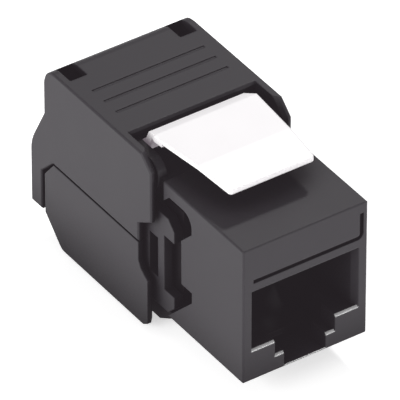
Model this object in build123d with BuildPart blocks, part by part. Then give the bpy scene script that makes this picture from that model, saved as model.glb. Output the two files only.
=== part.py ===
"""Keystone jack with two wire lids that close by hand.

Millimetres, +Z up, the plug port facing -Y. The origin is under the middle of
the jack, on the lower lid's flat underside. Depths are measured back from the
front face and heights up from the front housing's underside.
"""

import os
from math import isclose, radians, sin

from build123d import *

# Front housing
face_width = 14.6
face_height = 16.1
housing_depth = 13.7
side_wall = 1.35
housing_edge = 0.12
floor_wall = 0.9

# Plug port and its stepped floor
shelf_height = 3.74
head_height = 5.23
port_depth = 12.2
mouth_flare = 0.36
mouth_flare_depth = 0.9
ledge_edge = 0.2
step_height = 1.96
step_half_width = 3.54
finger_half_width = 2.45
finger_depth = 4.2
finger_floor = 0.25
catch_wall = 2.4
catch_half_width = 4.3

# Plain groove on the face above the port
groove_width = 0.45
groove_depth = 0.35
groove_rise = 1.15
groove_left = 6.1
groove_right = 6.6
groove_upturn = 2.9
groove_corner = 0.5

# Notches in the housing's sides
notch_front = 10.64
notch_head = 2.3
lobe_front = 8.85
lobe_head = 1.35
lobe_drop = 2.15
lobe_tail = 3.95
lobe_round = 1.5
toe_front = 8.82
toe_low = 4.25
toe_high = 5.5
past = 1.0

# Fixed panel hook under the housing
hook_half_width = 4.6
hook_drop = 1.9
hook_depth = 8.4
hook_length = 2.2
hook_ramp = 1.3

# Contact carrier and its eight spring contacts
contact_count = 8
contact_pitch = 1.02
contact_width = 0.42
contact_thickness = 0.3
contact_slot = 0.62
contact_swing = 6.0
contact_tip_depth = 3.3
contact_tip_drop = 1.27
contact_tip_turn = 0.5
contact_bend_depth = 13.0
contact_bend = 0.8
carrier_gap = 0.12
comb_half_width = 4.7
comb_front = 1.9
comb_lip = 0.4
comb_height = 1.63
comb_slot_room = 0.45
carrier_thickness = 3.0

# Circuit board
board_gap = 0.6
board_thickness = 1.6
board_half_width = 5.95
board_base = 1.0
board_head = 2.75
board_slot_width = 0.6
board_slot_length = 0.95
board_hole_radius = 0.5

# Blade contacts, four above and four below
blade_pitch = 2.8
blade_reach = 3.0
blade_tip = 6.2
blade_thickness = 0.4
blade_width = 2.0
blade_slot = 0.36
blade_root = 2.6
blade_slot_root = 3.9
blade_foot_width = 0.8
blade_inset = 4.58
blade_stagger = 3.0
blade_columns = (-1.5, -0.5, 0.5, 1.5)
blade_fit = 0.15

# Terminal block
block_gap = 0.2
block_length = 10.5
block_half_height = 6.6
channel_width = 1.3
channel_floor = 4.0
channel_front = 20.2
arm_thickness = 1.0
arm_front = 11.85
arm_neck = 13.6
arm_head = 4.05
arm_base = 0.5
hook_nose = 2.45
hook_bevel = 1.1
arm_slot_front = 14.7
arm_slot_length = 1.5
arm_slot_base = 3.75
arm_slot_top = 8.6
chin_half_width = 6.6
chin_front = 12.6
chin_bend = 13.4
chin_bend_drop = 0.9
chin_toe = 15.4
chin_drop = 2.1
chin_gap = 0.12
ear_thickness = 1.1
ear_radius = 1.75
shelf_drop = 0.3
shelf_front = 13.95
tongue_front = 10.8
tongue_thickness = 0.9
tongue_drop = 1.2
tongue_gap = 0.12

# Panel latch
latch_rise = 3.1
latch_tip_depth = 5.66
latch_tip_drop = 0.26
latch_tip_half = 4.95
latch_corner = 0.4
latch_crown_depth = 10.5
latch_shoulder_depth = 17.2
latch_shoulder_drop = 0.2
latch_shoulder_half = 6.05
latch_heel_depth = 18.75
latch_heel_drop = 0.9
latch_heel_half = 5.6
latch_thickness = 0.5
latch_root_thickness = 0.85
latch_step_length = 1.2
latch_bead = 0.6
latch_bead_depth = 20.7
latch_bead_drop = 1.26
latch_neck = 0.6
latch_seat_length = 2.1
latch_seat_gap = 0.25

# Lids
lid_wall = 0.81
lid_side_gap = 0.2
lid_rise = 2.38
lid_roof = 0.67
lid_front_gap = 0.7
lid_length = 33.35
lid_brow_depth = 1.7
lid_brow_drop = 1.55
lid_cheek_height = 10.97
lid_step_depth = 2.25
lid_step_drop = 1.38
lid_corner = 2.0
lid_edge = 0.15
lid_lip = 0.4
lid_rear_wall = 1.2
seam_height = 7.11
seam_gap = 0.12
seam_rise = 0.2
roof_front = 19.4
roof_lip = 0.25
tail_length = 2.48
tail_thickness = 1.95
tail_base = 0.5
tail_knee = 8.0
tail_round = 4.2
tail_shoulder = 12.74
tail_gap = 0.62
lower_drop = 3.07
lower_wall = 0.75
lower_front = 15.05
lower_toe = 1.8
lower_heel = 1.2
lower_round = 1.0
rear_slope = 3.6
seam_slope = 2.1

# The lower lid's bent front edge, as drops below the seam
cheek_bend = 0.4
cheek_drop = 2.2
bend_drop = 3.0
foot_drop = 3.9

# Lid pins in the terminal block
pin_radius = 0.8
pin_fit = 0.05
pin_end_gap = 0.1
upper_pin_depth = 16.3
upper_pin_drop = 0.4
lower_pin_depth = 17.0
lower_pin_height = 1.8

# Lid details
grip_count = 3
grip_pitch = 2.07
grip_first = 23.0
grip_width = 0.3
grip_depth = 0.08
grip_half_length = 6.6
rear_notch_inner = 5.5
rear_notch_width = 2.0
rear_notch_length = 2.9
rear_notch_wall = 0.75
rear_notch_corner = 0.15
rear_notch_depth = 1.6
presser_width = 1.0
presser_gap = 0.3
foot_length = 1.1
foot_reach = 1.2
foot_gap = 0.5
cable_radius = 3.2

# Places worked out from the sizes above
overall_length = lid_length + tail_length
face_y = -overall_length / 2
base_z = lower_drop
face_half = face_width / 2
port_half = face_half - side_wall
port_top = face_height - head_height
port_height = port_top - shelf_height
comb_top = port_top + comb_height
notch_top = face_height - notch_head
lobe_top = face_height - lobe_head
carrier_front = port_depth + carrier_gap
carrier_rear = carrier_front + carrier_thickness
carrier_half = port_half - carrier_gap
board_front = carrier_rear + board_gap
board_rear = board_front + board_thickness
board_middle = board_front + board_thickness / 2
board_top = face_height - board_head
block_front = board_rear + block_gap
blade_inner_depth = block_front + blade_inset
blade_outer_depth = blade_inner_depth + blade_stagger
block_rear = block_front + block_length
ear_inner = face_half - ear_thickness
arm_inner = face_half - arm_thickness
arm_top = face_height - arm_head
lid_inner = face_half + lid_side_gap
lid_outer = lid_inner + lid_wall
lid_top = face_height + lid_rise
roof_under = lid_top - lid_roof
lid_front = housing_depth + lid_front_gap
tail_inner = overall_length - tail_thickness
lower_rear = tail_inner - tail_gap
shelf_top = face_height - shelf_drop
tongue_top = shelf_top - tongue_drop
shelf_base = board_top + latch_seat_gap
upper_pin_height = face_height - upper_pin_drop
seat_top = upper_pin_height + ear_radius
seat_front = latch_bead_depth - latch_seat_length / 2
seat_rear = latch_bead_depth + latch_seat_length / 2
latch_bead_height = roof_under - latch_bead_drop
latch_end = seat_front - latch_seat_gap
latch_top = face_height + latch_rise
latch_step_depth = latch_shoulder_depth - latch_step_length
lower_inside = lower_wall - lower_drop
contact_tip_height = port_top - contact_tip_drop
contact_lift = (board_middle - contact_tip_depth) * sin(radians(contact_swing))
comb_slot_top = contact_tip_height + contact_tip_turn + contact_lift + comb_lip
contact_middle = (contact_count - 1) / 2
contact_places = [(index - contact_middle) * contact_pitch for index in range(contact_count)]
blade_places = [
    (column * blade_pitch, row, blade_inner_depth if abs(column) < 1 else blade_outer_depth)
    for row in (1, -1)
    for column in blade_columns
]

side = Plane(origin=(0, face_y, base_z), x_dir=(0, 1, 0), z_dir=(1, 0, 0))
front = Plane(origin=(0, face_y, base_z), x_dir=(1, 0, 0), z_dir=(0, -1, 0))
top = Plane(origin=(0, face_y, base_z))


def behind(depth):
    """The upright plane across the jack at a depth behind its face."""
    return front.offset(-depth)


def level(height):
    """The flat plane at a height above the housing's underside."""
    return top.offset(height)


def outline(*points):
    """One closed profile in the open sketch, from its corner points."""
    Polygon(*points, align=None)


def bar(low_x, high_x, low, high):
    """A rectangle in the open sketch, from two opposite corners."""
    with Locations(((low_x + high_x) / 2, (low + high) / 2)):
        Rectangle(abs(high_x - low_x), abs(high - low))


def save(builder, name):
    builder.part.label = name
    export_step(builder.part, f"parts/{name}.step")


os.makedirs("parts", exist_ok=True)

# Front housing
with BuildPart() as front_housing:
    with BuildSketch(front):
        bar(-face_half, face_half, 0, face_height)
    extrude(amount=-housing_depth)
    chamfer(front_housing.edges().filter_by(Axis.Y), housing_edge)
    chamfer(front_housing.faces().sort_by(Axis.Y)[0].edges(), housing_edge)
    with BuildSketch(front):
        bar(-port_half, port_half, shelf_height, port_top)
    extrude(amount=-housing_depth, mode=Mode.SUBTRACT)
    with BuildSketch(level(shelf_height)):
        outline(
            (-port_half - mouth_flare, 0),
            (-port_half, mouth_flare_depth),
            (port_half, mouth_flare_depth),
            (port_half + mouth_flare, 0),
        )
    extrude(amount=port_height, mode=Mode.SUBTRACT)
    with BuildSketch(front):
        bar(-step_half_width, step_half_width, step_height, shelf_height)
    extrude(amount=-catch_wall, mode=Mode.SUBTRACT)
    with BuildSketch(front):
        bar(-finger_half_width, finger_half_width, finger_floor, shelf_height)
    extrude(amount=-finger_depth, mode=Mode.SUBTRACT)
    with BuildSketch(behind(catch_wall)):
        bar(-catch_half_width, catch_half_width, floor_wall, shelf_height)
    extrude(amount=catch_wall - housing_depth, mode=Mode.SUBTRACT)
    with BuildSketch(behind(port_depth)):
        bar(-port_half, port_half, floor_wall, comb_top + carrier_gap)
    extrude(amount=port_depth - housing_depth, mode=Mode.SUBTRACT)
    with BuildSketch(behind(comb_front - carrier_gap)):
        comb_room = comb_half_width + carrier_gap
        bar(-comb_room, comb_room, port_top, comb_top + carrier_gap)
    extrude(amount=comb_front - carrier_gap - housing_depth, mode=Mode.SUBTRACT)
    with BuildSketch(behind(tongue_front - tongue_gap)):
        bar(-port_half, port_half, tongue_top - tongue_thickness - tongue_gap, tongue_top + tongue_gap)
    extrude(amount=tongue_front - tongue_gap - housing_depth, mode=Mode.SUBTRACT)
    mouth_edges = front_housing.edges().filter_by(Axis.X).group_by(Axis.Y)[0]
    ledges = mouth_edges.filter_by_position(
        Axis.Z, base_z + step_height - ledge_edge, base_z + shelf_height + ledge_edge
    )
    chamfer(ledges, ledge_edge)
    with BuildSketch(front):
        groove_height = port_top + groove_rise
        with BuildLine():
            FilletPolyline(
                (-groove_left, groove_height),
                (groove_right, groove_height),
                (groove_right, groove_height + groove_upturn),
                radius=groove_corner,
            )
        trace(line_width=groove_width)
    extrude(amount=-groove_depth, mode=Mode.SUBTRACT)
    with BuildSketch(side.offset(-face_half)) as side_notch:
        outline(
            (housing_depth + past, notch_top),
            (housing_depth, notch_top),
            (housing_depth - past, lobe_top),
            (lobe_front, lobe_top),
            (lobe_front, lobe_top - lobe_drop),
            (notch_front, lobe_top - lobe_tail),
            (notch_front, toe_high),
            (toe_front, toe_high),
            (toe_front, toe_low),
            (toe_front + toe_low + past, -past),
            (housing_depth + past, -past),
        )
        lobe_corner = side_notch.vertices().group_by(Axis.Y)[-1].sort_by(Axis.X)[0]
        fillet(lobe_corner, lobe_round)
    extrude(amount=face_width, mode=Mode.SUBTRACT)
    with BuildSketch(side):
        outline(
            (hook_depth, 0),
            (hook_depth, -hook_drop),
            (hook_depth + hook_length - hook_ramp, -hook_drop),
            (hook_depth + hook_length, 0),
        )
    extrude(amount=hook_half_width, both=True)
save(front_housing, "front_housing")

# Contact carrier: the port's back wall, with a comb over the spring contacts
with BuildPart() as contact_carrier:
    with BuildSketch(behind(carrier_front)):
        bar(-carrier_half, carrier_half, floor_wall + carrier_gap, comb_top)
    extrude(amount=-carrier_thickness)
    with BuildSketch(behind(comb_front)):
        bar(-comb_half_width, comb_half_width, port_top, comb_top)
    extrude(amount=comb_front - carrier_front)
    for place in contact_places:
        with BuildSketch(side.offset(place)):
            outline(
                (comb_front + comb_lip, port_top - past),
                (comb_front + comb_lip, comb_slot_top),
                (carrier_front, comb_slot_top),
                (carrier_rear + past, seam_height + comb_slot_room),
                (carrier_rear + past, seam_height - comb_slot_room),
                (carrier_front - past, seam_height - comb_slot_room),
                (carrier_front - past, port_top - past),
            )
        extrude(amount=contact_slot / 2, both=True, mode=Mode.SUBTRACT)
save(contact_carrier, "contact_carrier")

# Spring contacts: a foot in the board, a rising arm and a turned-up tip
for index, place in enumerate(contact_places):
    with BuildPart() as contact_spring:
        with BuildSketch(side.offset(place)):
            with BuildLine():
                FilletPolyline(
                    (board_rear, seam_height),
                    (contact_bend_depth, seam_height),
                    (contact_tip_depth, contact_tip_height),
                    (contact_tip_depth - contact_tip_turn, contact_tip_height + contact_tip_turn),
                    radius=contact_bend,
                )
            trace(line_width=contact_thickness)
        extrude(amount=contact_width / 2, both=True)
    save(contact_spring, f"contact_spring_{index + 1}")

# Circuit board, with plated slots for the spring contacts and holes for the blades
with BuildPart() as circuit_board:
    with BuildSketch(behind(board_front)):
        bar(-board_half_width, board_half_width, board_base, board_top)
        with Locations(*[(place, seam_height) for place in contact_places]):
            SlotOverall(board_slot_length, board_slot_width, rotation=90, mode=Mode.SUBTRACT)
        for column, row, _ in blade_places:
            with Locations((column, seam_height + row * blade_reach)):
                Circle(board_hole_radius, mode=Mode.SUBTRACT)
    extrude(amount=-board_thickness)
save(circuit_board, "circuit_board")

# Blade contacts: a foot in the board, a lead to the back and a fork for the wire
for index, (column, row, depth) in enumerate(blade_places):
    with BuildPart() as idc_contact:
        with BuildSketch(behind(depth - blade_thickness / 2)):
            with Locations((column, seam_height)):
                bar(-blade_width / 2, blade_width / 2, blade_root * row, blade_tip * row)
                with Locations((0, (blade_tip + blade_slot_root) / 2 * row)):
                    Rectangle(blade_slot, blade_tip - blade_slot_root, mode=Mode.SUBTRACT)
        extrude(amount=-blade_thickness)
        with BuildSketch(side.offset(column)):
            lead_height = seam_height + row * blade_reach
            half_lead = blade_thickness / 2
            bar(board_front, depth, lead_height - half_lead, lead_height + half_lead)
        extrude(amount=blade_foot_width / 2, both=True)
    save(idc_contact, f"idc_contact_{index + 1}")

# Terminal block: wire channels, blade pockets, snap arms, sloped chin, hinge ears and latch seat
with BuildPart() as terminal_block:
    with BuildSketch(behind(block_front)):
        with Locations((0, seam_height)):
            Rectangle(face_width, 2 * block_half_height)
    extrude(amount=-block_length)
    with BuildSketch(behind(shelf_front)):
        bar(-face_half + ear_thickness / 2, face_half - ear_thickness / 2, shelf_base, shelf_top)
    extrude(amount=shelf_front - seat_rear)
    with BuildSketch(behind(shelf_front)):
        bar(-face_half, face_half, arm_base, board_base - block_gap)
    extrude(amount=shelf_front - block_front)
    with BuildSketch(side):
        outline(
            (chin_front, -chin_gap),
            (shelf_front, -chin_gap),
            (shelf_front, board_base - block_gap),
            (block_front + past, board_base - block_gap),
            (block_front + past, -chin_drop),
            (chin_toe, -chin_drop),
            (chin_bend, -chin_bend_drop),
        )
    extrude(amount=chin_half_width, both=True)
    with BuildSketch(behind(tongue_front)):
        tongue_half = port_half - tongue_gap
        bar(-tongue_half, tongue_half, tongue_top - tongue_thickness, tongue_top)
    extrude(amount=tongue_front - block_front)
    with BuildSketch(behind(seat_front)):
        bar(-face_half, face_half, shelf_base, seat_top)
    extrude(amount=-latch_seat_length)
    for mirrored in (-1, 1):
        with BuildSketch(side.offset(mirrored * (face_half - arm_thickness / 2))):
            outline(
                (block_front + past, arm_top),
                (arm_front + hook_bevel, arm_top),
                (arm_front, arm_top - hook_bevel),
                (arm_front, arm_top - hook_nose),
                (arm_neck, arm_top - hook_nose),
                (arm_neck, arm_base + hook_nose),
                (arm_front, arm_base + hook_nose),
                (arm_front, arm_base + hook_bevel),
                (arm_front + hook_bevel, arm_base),
                (block_front + past, arm_base),
            )
            with BuildSketch(mode=Mode.PRIVATE) as arm_slot:
                bar(arm_slot_front, arm_slot_front + arm_slot_length, arm_slot_base, arm_slot_top)
            add(arm_slot.sketch, mode=Mode.SUBTRACT)
        extrude(amount=arm_thickness / 2, both=True)
        with BuildSketch(side.offset(mirrored * (face_half - ear_thickness / 2))):
            outline(
                (upper_pin_depth, seat_top),
                (seat_rear, seat_top),
                (seat_rear, board_top),
                (upper_pin_depth - ear_radius / 2, board_top),
                (upper_pin_depth - ear_radius, upper_pin_height),
            )
            with Locations((upper_pin_depth, upper_pin_height)):
                Circle(ear_radius)
        extrude(amount=ear_thickness / 2, both=True)
        with BuildSketch(side.offset(mirrored * face_half)):
            with Locations((upper_pin_depth, upper_pin_height), (lower_pin_depth, lower_pin_height)):
                Circle(pin_radius + pin_fit)
        extrude(amount=-mirrored * arm_thickness, mode=Mode.SUBTRACT)
    for row in (1, -1):
        for column in blade_columns:
            with BuildSketch(behind(channel_front)):
                with Locations((column * blade_pitch, seam_height)):
                    bar(-channel_width / 2, channel_width / 2, row * channel_floor, row * block_half_height)
            extrude(amount=channel_front - block_rear, mode=Mode.SUBTRACT)
    for column, row, depth in blade_places:
        pocket_half = blade_thickness / 2 + blade_fit
        with BuildSketch(behind(depth - pocket_half)):
            with Locations((column, seam_height)):
                pocket_width = blade_width + 2 * blade_fit
                bar(
                    -pocket_width / 2,
                    pocket_width / 2,
                    row * (blade_root - blade_fit),
                    row * block_half_height,
                )
        extrude(amount=-2 * pocket_half, mode=Mode.SUBTRACT)
        with BuildSketch(behind(block_front)):
            with Locations((column, seam_height + row * blade_reach)):
                Rectangle(blade_foot_width + 2 * blade_fit, 2 * pocket_half)
        extrude(amount=block_front - depth, mode=Mode.SUBTRACT)
    with BuildSketch(side):
        with Locations((latch_bead_depth, latch_bead_height)):
            Circle(latch_bead + pin_fit)
        outline(
            (seat_front - past, latch_bead_height + latch_neck / 2 + pin_fit),
            (latch_bead_depth, latch_bead_height + latch_neck / 2 + pin_fit),
            (latch_bead_depth, latch_bead_height - latch_neck / 2 - pin_fit),
            (seat_front - past, latch_bead_height - latch_neck),
        )
    extrude(amount=latch_heel_half + tongue_gap, both=True, mode=Mode.SUBTRACT)
save(terminal_block, "terminal_block")

# Panel latch: a springy plate that runs forward from a leg and a round bead
with BuildPart() as keystone_latch:
    with BuildSketch(level(shelf_top)) as latch_plan:
        outline(
            (-latch_tip_half, latch_tip_depth),
            (latch_tip_half, latch_tip_depth),
            (latch_shoulder_half, latch_shoulder_depth),
            (latch_heel_half, latch_heel_depth),
            (latch_heel_half, latch_bead_depth),
            (-latch_heel_half, latch_bead_depth),
            (-latch_heel_half, latch_heel_depth),
            (-latch_shoulder_half, latch_shoulder_depth),
        )
        fillet(latch_plan.vertices().group_by(Axis.Y)[0], latch_corner)
    extrude(amount=latch_top - shelf_top)
    with BuildSketch(side):
        tip = latch_top - latch_tip_drop
        shoulder = latch_top - latch_shoulder_drop
        plate_slope = latch_shoulder_drop / (latch_shoulder_depth - latch_crown_depth)
        step_top = shoulder + plate_slope * (latch_shoulder_depth - latch_step_depth)
        leg_front = latch_end - latch_root_thickness
        outline(
            (latch_tip_depth, tip),
            (latch_crown_depth, latch_top),
            (latch_shoulder_depth, shoulder),
            (latch_heel_depth, latch_top - latch_heel_drop),
            (latch_end, latch_bead_height + latch_neck / 2),
            (latch_bead_depth, latch_bead_height + latch_neck / 2),
            (latch_bead_depth, latch_bead_height - latch_neck / 2),
            (leg_front, latch_bead_height - latch_neck / 2),
            (latch_heel_depth - latch_root_thickness, shoulder - latch_root_thickness),
            (latch_step_depth, step_top - latch_root_thickness),
            (latch_step_depth, step_top - latch_thickness),
            (latch_crown_depth, latch_top - latch_thickness),
            (latch_tip_depth, tip - latch_thickness),
        )
    extrude(amount=latch_shoulder_half, both=True, mode=Mode.INTERSECT)
    with BuildSketch(side):
        with Locations((latch_bead_depth, latch_bead_height)):
            Circle(latch_bead)
    extrude(amount=latch_heel_half, both=True)
save(keystone_latch, "keystone_latch")


def hinge_pins(depth, height, inner):
    """Two round pins on the open lid, pointing inwards from its side walls."""
    for mirrored in (-1, 1):
        with BuildSketch(side.offset(mirrored * (lid_inner + lid_wall / 2))) as pin:
            with Locations((depth, height)):
                Circle(pin_radius)
        extrude(pin.sketch, amount=-mirrored * (lid_inner + lid_wall / 2 - inner - pin_end_gap))


def front_lips(lid, deepest):
    """The inner edges along the front of the open lid's side walls."""
    edges = lid.edges().filter_by_position(Axis.Y, face_y, face_y + deepest)
    return [edge for edge in edges if isclose(abs(edge.center().X), lid_inner)]


def pressers(row, inside):
    """Ribs on the open lid above each channel, with a foot behind each blade."""
    for column, blade_row, depth in blade_places:
        if blade_row != row:
            continue
        rib_end = seam_height + row * (block_half_height + presser_gap)
        foot_end = seam_height + row * (channel_floor + foot_reach)
        foot_front = depth + blade_thickness / 2 + foot_gap
        with BuildSketch(side.offset(column)) as rib:
            bar(seat_rear + presser_gap, block_rear - presser_gap, rib_end, inside)
            bar(foot_front, foot_front + foot_length, foot_end, inside)
        extrude(rib.sketch, amount=presser_width / 2, both=True)


# Upper lid: roof, side walls and the tail that closes over the lower lid's back
with BuildPart() as upper_lid:
    with BuildSketch(side) as lid_profile:
        seam = seam_height + seam_rise + seam_gap / 2
        outline(
            (lid_front, lid_cheek_height),
            (lid_front, lid_top - lid_brow_drop),
            (lid_front + lid_brow_depth, lid_top),
            (lid_length, lid_top),
            (lid_length, tail_shoulder),
            (overall_length, tail_knee),
            (overall_length, tail_base),
            (tail_inner, tail_base),
            (tail_inner, seam - seam_slope),
            (tail_inner - seam_slope, seam),
            (lid_front + lid_step_depth, seam),
            (lid_front + lid_step_depth, lid_cheek_height - lid_step_drop),
        )
        knee_corner = lid_profile.vertices().group_by(Axis.X)[-1].sort_by(Axis.Y)[-1]
        fillet(knee_corner, tail_round)
    extrude(amount=lid_outer, both=True)
    fillet(upper_lid.edges().filter_by(Axis.X).group_by(Axis.Z)[-1].sort_by(Axis.Y)[-1], lid_corner)
    chamfer(upper_lid.faces().sort_by(Axis.X)[0].edges(), lid_edge)
    chamfer(upper_lid.faces().sort_by(Axis.X)[-1].edges(), lid_edge)
    with BuildSketch(side):
        outline(
            (lid_front - past, roof_under),
            (lid_length - lid_rear_wall, roof_under),
            (lid_length - lid_rear_wall, tail_shoulder),
            (tail_inner, tail_knee),
            (tail_inner, tail_base - past),
            (lid_front - past, tail_base - past),
        )
    extrude(amount=lid_inner, both=True, mode=Mode.SUBTRACT)
    with BuildSketch(level(roof_under)):
        bar(-lid_inner, lid_inner, lid_front - past, roof_front)
    extrude(amount=lid_roof, mode=Mode.SUBTRACT)
    roof_edges = upper_lid.edges().filter_by(Axis.X).filter_by_position(
        Axis.Y, face_y + roof_front - roof_lip, face_y + roof_front + roof_lip
    )
    chamfer(roof_edges.sort_by(Axis.Z)[-1], roof_lip)
    chamfer(front_lips(upper_lid, lid_front + lid_step_depth), lid_lip)
    with BuildSketch(level(lid_top)):
        for stroke in range(grip_count):
            with Locations((0, grip_first + stroke * grip_pitch)):
                Rectangle(2 * grip_half_length, grip_width)
    extrude(amount=-grip_depth, mode=Mode.SUBTRACT)
    with BuildSketch(level(lid_top)):
        notch_middle = rear_notch_inner + rear_notch_width / 2
        notch_centre = lid_length - rear_notch_wall - rear_notch_length / 2
        with Locations((-notch_middle, notch_centre), (notch_middle, notch_centre)):
            RectangleRounded(rear_notch_width, rear_notch_length, rear_notch_corner)
    extrude(amount=-rear_notch_depth, mode=Mode.SUBTRACT)
    with BuildSketch(behind(tail_inner - cable_radius)):
        with Locations((0, seam_height)):
            Circle(cable_radius)
        bar(-cable_radius, cable_radius, tail_base - past, seam_height)
    extrude(amount=-cable_radius - 2 * tail_thickness, mode=Mode.SUBTRACT)
    hinge_pins(upper_pin_depth, upper_pin_height, ear_inner)
    pressers(1, roof_under)
save(upper_lid, "upper_lid")

# Lower lid: floor, side walls and the back wall with its cable notch
with BuildPart() as lower_lid:
    with BuildSketch(side):
        seam = seam_height + seam_rise - seam_gap / 2
        cheek_depth = lid_front + lid_step_depth
        outline(
            (cheek_depth, seam),
            (cheek_depth, seam - cheek_drop),
            (cheek_depth - cheek_bend, seam - bend_drop),
            (lower_front, seam - foot_drop),
            (lower_front, lower_heel - lower_drop),
            (lower_front + lower_toe, -lower_drop),
            (lower_rear - rear_slope, -lower_drop),
            (lower_rear, rear_slope - lower_drop),
            (lower_rear, seam - seam_slope + seam_gap),
            (tail_inner - seam_slope - seam_gap, seam),
        )
    extrude(amount=lid_outer, both=True)
    lower_edges = lower_lid.edges().filter_by(Axis.Y).group_by(Axis.Z)[0]
    fillet(lower_edges, lower_round)
    with BuildSketch(side):
        outline(
            (lower_front - past, seam + past),
            (lower_front - past, lower_inside),
            (lower_rear - rear_slope, lower_inside),
            (lower_rear - lid_rear_wall, rear_slope - lower_drop),
            (lower_rear - lid_rear_wall, seam + past),
        )
    extrude(amount=lid_inner, both=True, mode=Mode.SUBTRACT)
    with BuildSketch(level(lower_inside)):
        bar(-lid_inner, lid_inner, lower_front - past, roof_front)
    extrude(amount=-lower_wall, mode=Mode.SUBTRACT)
    chamfer(front_lips(lower_lid, cheek_depth), lid_lip)
    with BuildSketch(behind(lower_rear - 2 * lid_rear_wall)):
        with Locations((0, seam_height)):
            Circle(cable_radius)
    extrude(amount=-4 * lid_rear_wall, mode=Mode.SUBTRACT)
    hinge_pins(lower_pin_depth, lower_pin_height, arm_inner)
    pressers(-1, lower_inside)
save(lower_lid, "lower_lid")
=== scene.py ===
import math

import bpy
from mathutils import Matrix, Vector


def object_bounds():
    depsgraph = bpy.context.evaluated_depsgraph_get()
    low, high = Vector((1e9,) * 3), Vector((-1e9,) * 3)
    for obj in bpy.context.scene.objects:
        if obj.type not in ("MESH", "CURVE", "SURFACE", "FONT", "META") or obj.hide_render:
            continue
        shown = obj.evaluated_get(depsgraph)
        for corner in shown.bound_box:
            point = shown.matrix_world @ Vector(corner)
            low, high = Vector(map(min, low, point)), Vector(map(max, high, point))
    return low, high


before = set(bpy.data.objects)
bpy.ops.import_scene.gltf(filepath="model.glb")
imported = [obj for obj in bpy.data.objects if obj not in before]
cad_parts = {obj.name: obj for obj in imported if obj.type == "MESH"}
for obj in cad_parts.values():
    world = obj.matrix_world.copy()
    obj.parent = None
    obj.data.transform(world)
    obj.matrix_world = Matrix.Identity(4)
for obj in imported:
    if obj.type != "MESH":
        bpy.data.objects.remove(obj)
cad_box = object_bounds()

MM = 0.001


# Front housing. One near-black moulding with the fine satin grain of a spark-eroded tool.
# Recesses get painted shade, the front edges of the port's ledges get a painted highlight,
# and a faint painted glow lifts the blacks.
EDGE_RADIUS = 0.2 * MM
RECESS_REACH = 12.0 * MM
FRONT_AND_UP = (0.0, -0.75, 0.66)
LEDGE_DIRECTION = (0.0, 3.0, 1.0)
LEDGE_BAND = 2.5 * MM
LEDGE_LIMIT = -43.5 * MM
NO_LEDGES = -1.0
LEDGE_HIGHLIGHT = 0.3
GLOW_COLOUR = (1.0, 0.82, 0.96, 1.0)


# Every material made here gets painted shade in its recesses and a faint painted glow; the painted
# ledge highlight appears only where ledge_limit is set.
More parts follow.
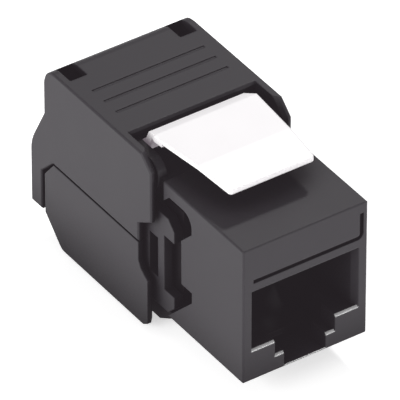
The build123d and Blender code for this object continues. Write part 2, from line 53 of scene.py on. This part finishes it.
def moulded_plastic(name, colour, grain, rough, gloss=0.22, cloudy=0.06, recess_shade=0.12, painted_glow=0.017,
                    ledge_limit=NO_LEDGES):
    material = bpy.data.materials.new(name)
    material.use_nodes = True
    nodes, links = material.node_tree.nodes, material.node_tree.links
    shader = nodes["Principled BSDF"]
    shader.inputs["IOR"].default_value = 1.5
    place = nodes.new("ShaderNodeTexCoord").outputs["Object"]

    cloud = nodes.new("ShaderNodeTexNoise")
    cloud.inputs["Scale"].default_value = 220.0
    cloud.inputs["Detail"].default_value = 3.0
    links.new(place, cloud.inputs["Vector"])
    tint = nodes.new("ShaderNodeValToRGB")
    tint.color_ramp.elements[0].position = 0.3
    tint.color_ramp.elements[0].color = (*[part * (1.0 - cloudy) for part in colour], 1.0)
    tint.color_ramp.elements[1].position = 0.7
    tint.color_ramp.elements[1].color = (*[part * (1.0 + cloudy) for part in colour], 1.0)
    links.new(cloud.outputs["Fac"], tint.inputs["Fac"])

    broken_edge = nodes.new("ShaderNodeBevel")
    broken_edge.samples = 8
    broken_edge.inputs["Radius"].default_value = EDGE_RADIUS
    # Painted shade: colour and sheen are darkened where ambient occlusion finds a recess.
    open_air = nodes.new("ShaderNodeAmbientOcclusion")
    open_air.samples = 8
    open_air.inputs["Distance"].default_value = RECESS_REACH
    links.new(broken_edge.outputs["Normal"], open_air.inputs["Normal"])
    painted_shade = nodes.new("ShaderNodeMapRange")
    painted_shade.interpolation_type = "SMOOTHSTEP"
    painted_shade.inputs["From Min"].default_value = 0.4
    painted_shade.inputs["From Max"].default_value = 0.95
    painted_shade.inputs["To Min"].default_value = recess_shade
    links.new(open_air.outputs["AO"], painted_shade.inputs["Value"])
    shade = nodes.new("ShaderNodeMix")
    shade.data_type = "RGBA"
    shade.blend_type = "MULTIPLY"
    shade.inputs["Factor"].default_value = 1.0
    links.new(tint.outputs["Color"], shade.inputs["A"])
    links.new(painted_shade.outputs["Result"], shade.inputs["B"])

    # Painted highlight: edges facing front and up near the port's ledges get a paler colour, more sheen
    # and a clear coat.
    tilt = nodes.new("ShaderNodeVectorMath")
    tilt.operation = "DOT_PRODUCT"
    tilt.inputs[1].default_value = FRONT_AND_UP
    links.new(broken_edge.outputs["Normal"], tilt.inputs[0])
    front_up = nodes.new("ShaderNodeMapRange")
    front_up.inputs["From Min"].default_value = 0.78
    front_up.inputs["From Max"].default_value = 0.9
    links.new(tilt.outputs["Value"], front_up.inputs["Value"])
    forward = nodes.new("ShaderNodeVectorMath")
    forward.operation = "DOT_PRODUCT"
    forward.inputs[1].default_value = LEDGE_DIRECTION
    links.new(place, forward.inputs[0])
    on_ledge = nodes.new("ShaderNodeMapRange")
    on_ledge.inputs["From Min"].default_value = ledge_limit
    on_ledge.inputs["From Max"].default_value = ledge_limit - LEDGE_BAND
    links.new(forward.outputs["Value"], on_ledge.inputs["Value"])
    ledge_highlight = nodes.new("ShaderNodeMath")
    ledge_highlight.operation = "MULTIPLY"
    links.new(front_up.outputs["Result"], ledge_highlight.inputs[0])
    links.new(on_ledge.outputs["Result"], ledge_highlight.inputs[1])
    painted_highlight = nodes.new("ShaderNodeMix")
    painted_highlight.data_type = "RGBA"
    painted_highlight.inputs["B"].default_value = (*[min(1.0, part + LEDGE_HIGHLIGHT) for part in colour], 1.0)
    links.new(ledge_highlight.outputs["Value"], painted_highlight.inputs["Factor"])
    links.new(shade.outputs["Result"], painted_highlight.inputs["A"])
    links.new(painted_highlight.outputs["Result"], shader.inputs["Base Color"])

    shine = nodes.new("ShaderNodeMath")
    shine.operation = "MULTIPLY_ADD"
    shine.inputs[1].default_value = gloss
    links.new(painted_shade.outputs["Result"], shine.inputs[0])
    links.new(ledge_highlight.outputs["Value"], shine.inputs[2])
    links.new(shine.outputs["Value"], shader.inputs["Specular IOR Level"])
    spread = nodes.new("ShaderNodeMapRange")
    spread.inputs["To Min"].default_value = rough - 0.05
    spread.inputs["To Max"].default_value = rough + 0.06
    links.new(cloud.outputs["Fac"], spread.inputs["Value"])
    smoother = nodes.new("ShaderNodeMath")
    smoother.operation = "MULTIPLY_ADD"
    smoother.inputs[1].default_value = -0.25
    links.new(ledge_highlight.outputs["Value"], smoother.inputs[0])
    links.new(spread.outputs["Result"], smoother.inputs[2])
    links.new(smoother.outputs["Value"], shader.inputs["Roughness"])
    links.new(ledge_highlight.outputs["Value"], shader.inputs["Coat Weight"])
    shader.inputs["Coat Roughness"].default_value = 0.2
    # Painted glow: a faint emission lifts the blacks.
    shader.inputs["Emission Color"].default_value = GLOW_COLOUR
    shader.inputs["Emission Strength"].default_value = painted_glow

    pits = nodes.new("ShaderNodeTexNoise")
    pits.inputs["Scale"].default_value = 5200.0
    pits.inputs["Detail"].default_value = 2.0
    links.new(place, pits.inputs["Vector"])
    relief = nodes.new("ShaderNodeBump")
    relief.inputs["Strength"].default_value = grain
    relief.inputs["Distance"].default_value = 0.01 * MM
    links.new(pits.outputs["Fac"], relief.inputs["Height"])
    links.new(broken_edge.outputs["Normal"], relief.inputs["Normal"])
    links.new(relief.outputs["Normal"], shader.inputs["Normal"])
    return material


def finish_node(node, material):
    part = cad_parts[node]
    part.data.materials.clear()
    part.data.materials.append(material)


BLACK = (0.0255, 0.0236, 0.0274)
housing_black = moulded_plastic("housing_black", BLACK, 0.35, 0.5, ledge_limit=LEDGE_LIMIT)
finish_node("front_housing", housing_black)


# Contact carrier. A black moulding pressed into the housing from behind. It closes the
# port's back and holds the spring contacts apart with its comb.
carrier_black = moulded_plastic("carrier_black", (0.02, 0.018, 0.02), 0.4, 0.6, gloss=0.1)
finish_node("contact_carrier", carrier_black)


# Spring contacts. Phosphor bronze wire with a gold flash, bent over a mandrel and
# soldered in the board.
gold_flash = moulded_plastic("gold_flash", (0.9, 0.62, 0.24), 0.1, 0.24, gloss=0.5)
gold_flash.node_tree.nodes["Principled BSDF"].inputs["Metallic"].default_value = 1.0
for number in range(1, 9):
    finish_node(f"contact_spring_{number}", gold_flash)


# Circuit board. Glass laminate under green solder mask.
green_mask = moulded_plastic("green_mask", (0.02, 0.12, 0.05), 0.25, 0.3, gloss=0.5)
finish_node("circuit_board", green_mask)


# Forked wire contacts. Stamped phosphor bronze strip, tinned.
tin_plate = moulded_plastic("tin_plate", (0.62, 0.62, 0.6), 0.3, 0.32, gloss=0.5)
tin_plate.node_tree.nodes["Principled BSDF"].inputs["Metallic"].default_value = 1.0
for number in range(1, 9):
    finish_node(f"idc_contact_{number}", tin_plate)


# Terminal block. The same black plastic as the housing. It snaps into the housing's
# side notches with its four hooks and carries both lids on round pin holes.
block_black = moulded_plastic("block_black", BLACK, 0.35, 0.5)
finish_node("terminal_block", block_black)


# Panel latch. One smooth white moulding, satin from a smoother tool. Its bead is
# pressed into the terminal block's seat.
# The latch's glow is painted light, and its recesses get only light painted shade.
latch_white = moulded_plastic(
    "latch_white", (0.93, 0.93, 0.925), 0.1, 0.38, gloss=0.4, cloudy=0.01, recess_shade=0.8, painted_glow=0.12)
finish_node("keystone_latch", latch_white)


# Upper lid. Black moulding with the same grain. It turns on two round pins and closes
# over the lower lid's back.
lid_black = moulded_plastic("lid_black", BLACK, 0.35, 0.5)
finish_node("upper_lid", lid_black)


# Lower lid. Moulded like the upper lid and hung from the same block.
finish_node("lower_lid", lid_black)


# Floor, a plain pale sheet just under the lower lid.
FLOOR_GAP = 0.01 * MM
bpy.ops.mesh.primitive_plane_add(size=6.0, location=(0.0, 0.0, cad_box[0][2] - FLOOR_GAP))
floor = bpy.context.object
floor.name = "floor"
paper = bpy.data.materials.new("pale_paper")
paper.use_nodes = True
sheet = paper.node_tree.nodes["Principled BSDF"]
sheet.inputs["Base Color"].default_value = (0.93, 0.93, 0.93, 1.0)
sheet.inputs["Roughness"].default_value = 0.9
sheet.inputs["Emission Color"].default_value = (1.0, 1.0, 1.0, 1.0)
sheet.inputs["Emission Strength"].default_value = 0.55
floor.data.materials.append(paper)


# Studio light. A small key from the rear right throws the latch's shadow, and large
# soft panels fill the sides.
def soft_panel(name, place, size, power, target=(0.0, 0.0, 0.01)):
    lamp = bpy.data.lights.new(name, "AREA")
    lamp.shape = "SQUARE"
    lamp.size = size
    lamp.energy = power
    panel = bpy.data.objects.new(name, lamp)
    bpy.context.collection.objects.link(panel)
    panel.location = place
    panel.rotation_euler = (Vector(target) - Vector(place)).to_track_quat("-Z", "Y").to_euler()


soft_panel("key", (0.48, 0.405, 0.72), 0.1, 3.4)
soft_panel("panel_left", (-0.7, -0.1, 0.28), 0.5, 4.8)
soft_panel("panel_rear", (-0.47, 0.53, 0.35), 0.15, 0.25)
soft_panel("panel_front", (0.4, -0.79, 0.145), 0.1, 2.7)

world = bpy.data.worlds.new("studio")
bpy.context.scene.world = world
world.use_nodes = True
world.node_tree.nodes["Background"].inputs["Color"].default_value = (1.0, 1.0, 1.0, 1.0)
world.node_tree.nodes["Background"].inputs["Strength"].default_value = 0.3
bpy.context.scene.view_settings.view_transform = "Standard"


# Camera, at the photograph's angle: a long lens from the front left, above.
turn, rise = math.radians(-34.186), math.radians(37.239)
back = Vector((math.sin(turn) * math.cos(rise), -math.cos(turn) * math.cos(rise), math.sin(rise)))
right = Vector((math.cos(turn), math.sin(turn), 0.0))
up = back.cross(right)
aim = Vector((0.0, -1.805 * MM, 11.125 * MM))
distance = 830.6 * MM
shift_left, shift_up = 1.14 * MM, 0.92 * MM
eye = aim + back * distance - right * shift_left + up * shift_up
lens = bpy.data.cameras.new("camera")
lens.lens = 762.6
lens.sensor_width = 36.0
lens.clip_start = 0.05
camera = bpy.data.objects.new("camera", lens)
bpy.context.collection.objects.link(camera)
roll = Matrix.Rotation(math.radians(-0.008), 3, "Z")
camera.matrix_world = Matrix.Translation(eye) @ (Matrix((right, up, back)).transposed() @ roll).to_4x4()
bpy.context.scene.camera = camera
